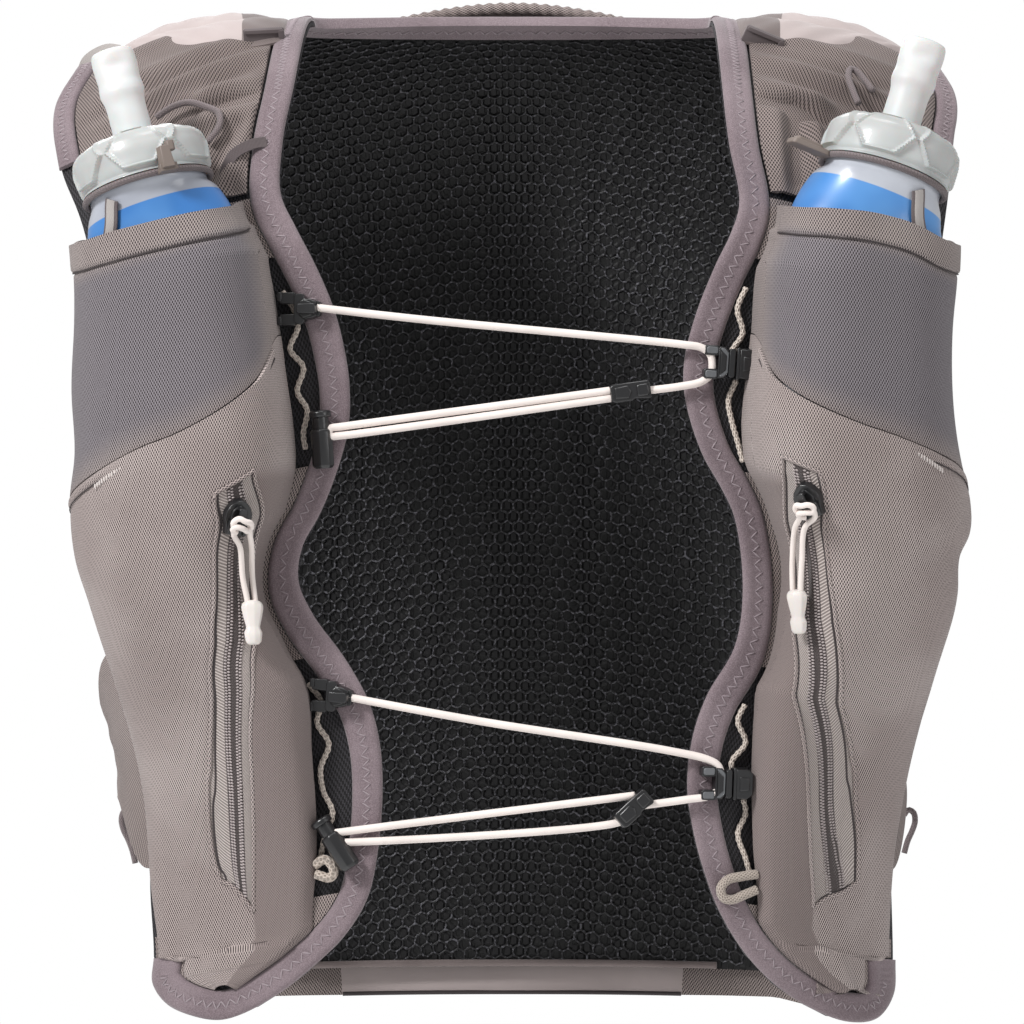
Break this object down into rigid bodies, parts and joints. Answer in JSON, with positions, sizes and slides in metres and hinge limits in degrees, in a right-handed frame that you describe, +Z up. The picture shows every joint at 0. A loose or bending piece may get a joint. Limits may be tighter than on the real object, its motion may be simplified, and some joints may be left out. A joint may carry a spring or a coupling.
{
  "type": "running hydration vest",
  "caption": "Sleeveless running vest as worn, with soft flasks in chest pockets, zipped lower pockets, cord front closures and a mesh back with a pouch.",
  "frame": {"origin": "between the two shoulders, at the height where the straps rest on them and midway between front and back", "axes": "+Z up, the front faces -Y, +X to the viewer's right as seen from the front"},
  "size_m": [0.3643, 0.272, 0.4268],
  "materials": {
    "knit_taupe": "perforated stretch knit, matt",
    "binding_mauve": "brushed stretch binding with zigzag stitching",
    "mesh_black": "black spacer mesh with hexagon cells",
    "woven_pale": "light woven fabric, soft sheen",
    "cord_pale": "round braided cord",
    "cord_taupe": "round elastic cord",
    "plastic_black": "moulded, satin",
    "plastic_clear": "translucent moulding, frosted",
    "silicone": "frosted translucent silicone",
    "film_blue": "soft flexible film, blue-grey, with a blue band"
  },
  "bodies": {
    "vest": {"back_mesh": "mesh_black", "neck_binding": "binding_mauve", "pouch_centre": "woven_pale", "gathered_rim": "knit_taupe", "front_lining_left": "mesh_black", "edge_binding_left": "binding_mauve", "armhole_binding_left": "binding_mauve", "strap_cover_left": "knit_taupe", "shoulder_yoke_left": "woven_pale", "side_wing_left": "knit_taupe", "pouch_side_left": "knit_taupe", "flask_pocket_left": "knit_taupe", "zip_pocket_left": "knit_taupe", "zip_tape_left": "knit_taupe", "flask_left": "film_blue", "flask_cord_left": "cord_taupe", "cord_loop_left": "cord_pale", "neck_loop_left": "cord_taupe", "side_loop_left": "cord_taupe", "zip_slider_left": "plastic_black", "zip_pull_left": "cord_pale", "zip_pull_end_left": "cord_pale", "front_lining_right": "mesh_black", "edge_binding_right": "binding_mauve", "armhole_binding_right": "binding_mauve", "strap_cover_right": "knit_taupe", "shoulder_yoke_right": "woven_pale", "side_wing_right": "knit_taupe", "pouch_side_right": "knit_taupe", "flask_pocket_right": "knit_taupe", "zip_pocket_right": "knit_taupe", "zip_tape_right": "knit_taupe", "flask_right": "film_blue", "flask_cord_right": "cord_taupe", "cord_loop_right": "cord_pale", "neck_loop_right": "cord_taupe", "side_loop_right": "cord_taupe", "zip_slider_right": "plastic_black", "zip_pull_right": "cord_pale", "zip_pull_end_right": "cord_pale", "rail_upper_left": "cord_pale", "rail_lower_left": "cord_pale", "rail_upper_right": "cord_pale", "rail_lower_right": "cord_pale", "hook_upper": "plastic_black", "buckle_upper": "plastic_black", "toggle_upper": "plastic_black", "adjuster_upper": "plastic_black", "closure_cord_upper": "cord_pale", "closure_loop_upper": "cord_pale", "hook_lower": "plastic_black", "buckle_lower": "plastic_black", "toggle_lower": "plastic_black", "adjuster_lower": "plastic_black", "closure_cord_lower": "cord_pale", "closure_loop_lower": "cord_pale"},
    "cap_left": {"flask_cap_left": "plastic_clear", "bite_valve_left": "silicone"},
    "cap_right": {"flask_cap_right": "plastic_clear", "bite_valve_right": "silicone"}
  },
  "joints": [
    {"name": "cap_left_turn", "type": "hinge", "parent": "vest", "child": "cap_left", "pos_m": [-0.14088, -0.10535, -0.063], "axis": [-0.2646, 0.1392, 0.9543], "range_deg": [0, 450]},
    {"name": "cap_right_turn", "type": "hinge", "parent": "vest", "child": "cap_right", "pos_m": [0.14385, -0.10395, -0.05845], "axis": [0.306, 0.1392, 0.9418], "range_deg": [0, 450]}
  ]
}
